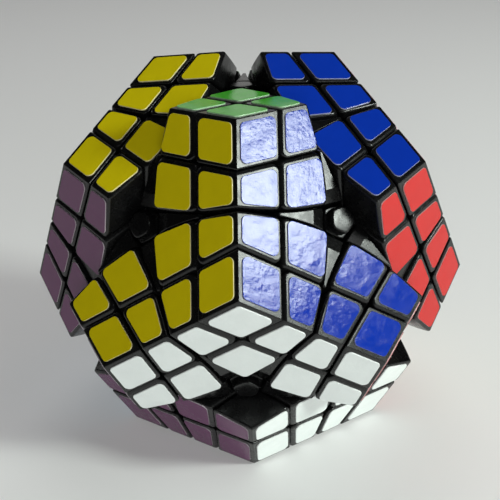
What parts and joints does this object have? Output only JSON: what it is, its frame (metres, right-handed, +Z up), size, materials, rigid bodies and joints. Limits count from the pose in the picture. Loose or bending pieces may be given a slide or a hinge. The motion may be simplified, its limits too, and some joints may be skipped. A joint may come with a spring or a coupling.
{
  "type": "dodecahedron twisty puzzle",
  "caption": "Dodecahedral layered rotational puzzle in black plastic with coloured stickers, three wide layers turned about half a step, resting on one pentagonal face.",
  "frame": {"origin": "middle of the core, where all the turning axes meet", "axes": "+Z up, out of the top face and square to the face the puzzle rests on; the front, where three unturned faces meet, looks along -Y; +X to the right"},
  "size_m": [0.1115, 0.1102, 0.0969],
  "materials": {
    "black_plastic": "glossy injection-moulded black ABS with rounded edges",
    "dark_mechanism": "satin black moulded plastic of the hidden pieces",
    "steel": "zinc-plated steel screws, springs and washers",
    "yellow_sticker": "glossy yellow vinyl sticker",
    "blue_sticker": "glossy dark blue vinyl sticker",
    "white_sticker": "glossy white vinyl sticker",
    "light_green_sticker": "glossy light green vinyl sticker",
    "purple_sticker": "glossy purple vinyl sticker",
    "red_sticker": "glossy red vinyl sticker",
    "cream_sticker": "glossy cream vinyl sticker",
    "light_blue_sticker": "glossy light blue vinyl sticker",
    "grey_sticker": "glossy grey vinyl sticker",
    "orange_sticker": "glossy orange vinyl sticker",
    "pink_sticker": "glossy pink vinyl sticker",
    "dark_green_sticker": "glossy dark green vinyl sticker",
    "rim_stickers": "glossy vinyl stickers in the colours of the five faces round the layer"
  },
  "bodies": {
    "core_and_fixed_cells": {"core": "dark_mechanism", "screws": "steel", "springs": "steel", "washers": "steel", "hubs": "dark_mechanism", "hub_caps": "black_plastic", "hidden_edges": "dark_mechanism", "hidden_corners": "dark_mechanism", "spacers": "black_plastic", "corner_pieces": "black_plastic", "edge_pieces": "black_plastic", "centre_pieces": "black_plastic", "yellow_stickers": "yellow_sticker", "blue_stickers": "blue_sticker", "white_stickers": "white_sticker", "light_green_stickers": "light_green_sticker", "purple_stickers": "purple_sticker", "red_stickers": "red_sticker", "cream_stickers": "cream_sticker", "light_blue_stickers": "light_blue_sticker", "grey_stickers": "grey_sticker"},
    "left_inner_layer": {"left_hidden_pieces": "dark_mechanism", "left_inner_spacers": "black_plastic", "left_inner_edges": "black_plastic", "left_inner_centres": "black_plastic", "left_inner_rim_stickers": "rim_stickers"},
    "left_outer_layer": {"left_hub": "dark_mechanism", "left_hub_cap": "black_plastic", "left_outer_spacers": "black_plastic", "left_outer_corners": "black_plastic", "left_outer_edges": "black_plastic", "left_outer_centres": "black_plastic", "left_face_stickers": "orange_sticker", "left_outer_rim_stickers": "rim_stickers"},
    "right_inner_layer": {"right_hidden_pieces": "dark_mechanism", "right_inner_spacers": "black_plastic", "right_inner_edges": "black_plastic", "right_inner_centres": "black_plastic", "right_inner_rim_stickers": "rim_stickers"},
    "right_outer_layer": {"right_hub": "dark_mechanism", "right_hub_cap": "black_plastic", "right_outer_spacers": "black_plastic", "right_outer_corners": "black_plastic", "right_outer_edges": "black_plastic", "right_outer_centres": "black_plastic", "right_face_stickers": "pink_sticker", "right_outer_rim_stickers": "rim_stickers"},
    "base_inner_layer": {"base_hidden_pieces": "dark_mechanism", "base_inner_spacers": "black_plastic", "base_inner_edges": "black_plastic", "base_inner_centres": "black_plastic", "base_inner_rim_stickers": "rim_stickers"},
    "base_outer_layer": {"base_hub": "dark_mechanism", "base_hub_cap": "black_plastic", "base_outer_spacers": "black_plastic", "base_outer_corners": "black_plastic", "base_outer_edges": "black_plastic", "base_outer_centres": "black_plastic", "base_face_stickers": "dark_green_sticker", "base_outer_rim_stickers": "rim_stickers"}
  },
  "joints": [
    {"name": "left_wide_turn", "type": "hinge", "parent": "core_and_fixed_cells", "child": "left_inner_layer", "pos_m": [0, 0, 0], "axis": [-0.8507, 0.2764, 0.4472], "continuous": true},
    {"name": "left_outer_turn", "type": "hinge", "parent": "left_inner_layer", "child": "left_outer_layer", "pos_m": [0, 0, 0], "axis": [-0.8507, 0.2764, 0.4472], "continuous": true},
    {"name": "right_wide_turn", "type": "hinge", "parent": "core_and_fixed_cells", "child": "right_inner_layer", "pos_m": [0, 0, 0], "axis": [0.8507, 0.2764, 0.4472], "continuous": true},
    {"name": "right_outer_turn", "type": "hinge", "parent": "right_inner_layer", "child": "right_outer_layer", "pos_m": [0, 0, 0], "axis": [0.8507, 0.2764, 0.4472], "continuous": true},
    {"name": "base_wide_turn", "type": "hinge", "parent": "core_and_fixed_cells", "child": "base_inner_layer", "pos_m": [0, 0, 0], "axis": [0, 0, -1], "continuous": true},
    {"name": "base_outer_turn", "type": "hinge", "parent": "base_inner_layer", "child": "base_outer_layer", "pos_m": [0, 0, 0], "axis": [0, 0, -1], "continuous": true}
  ]
}
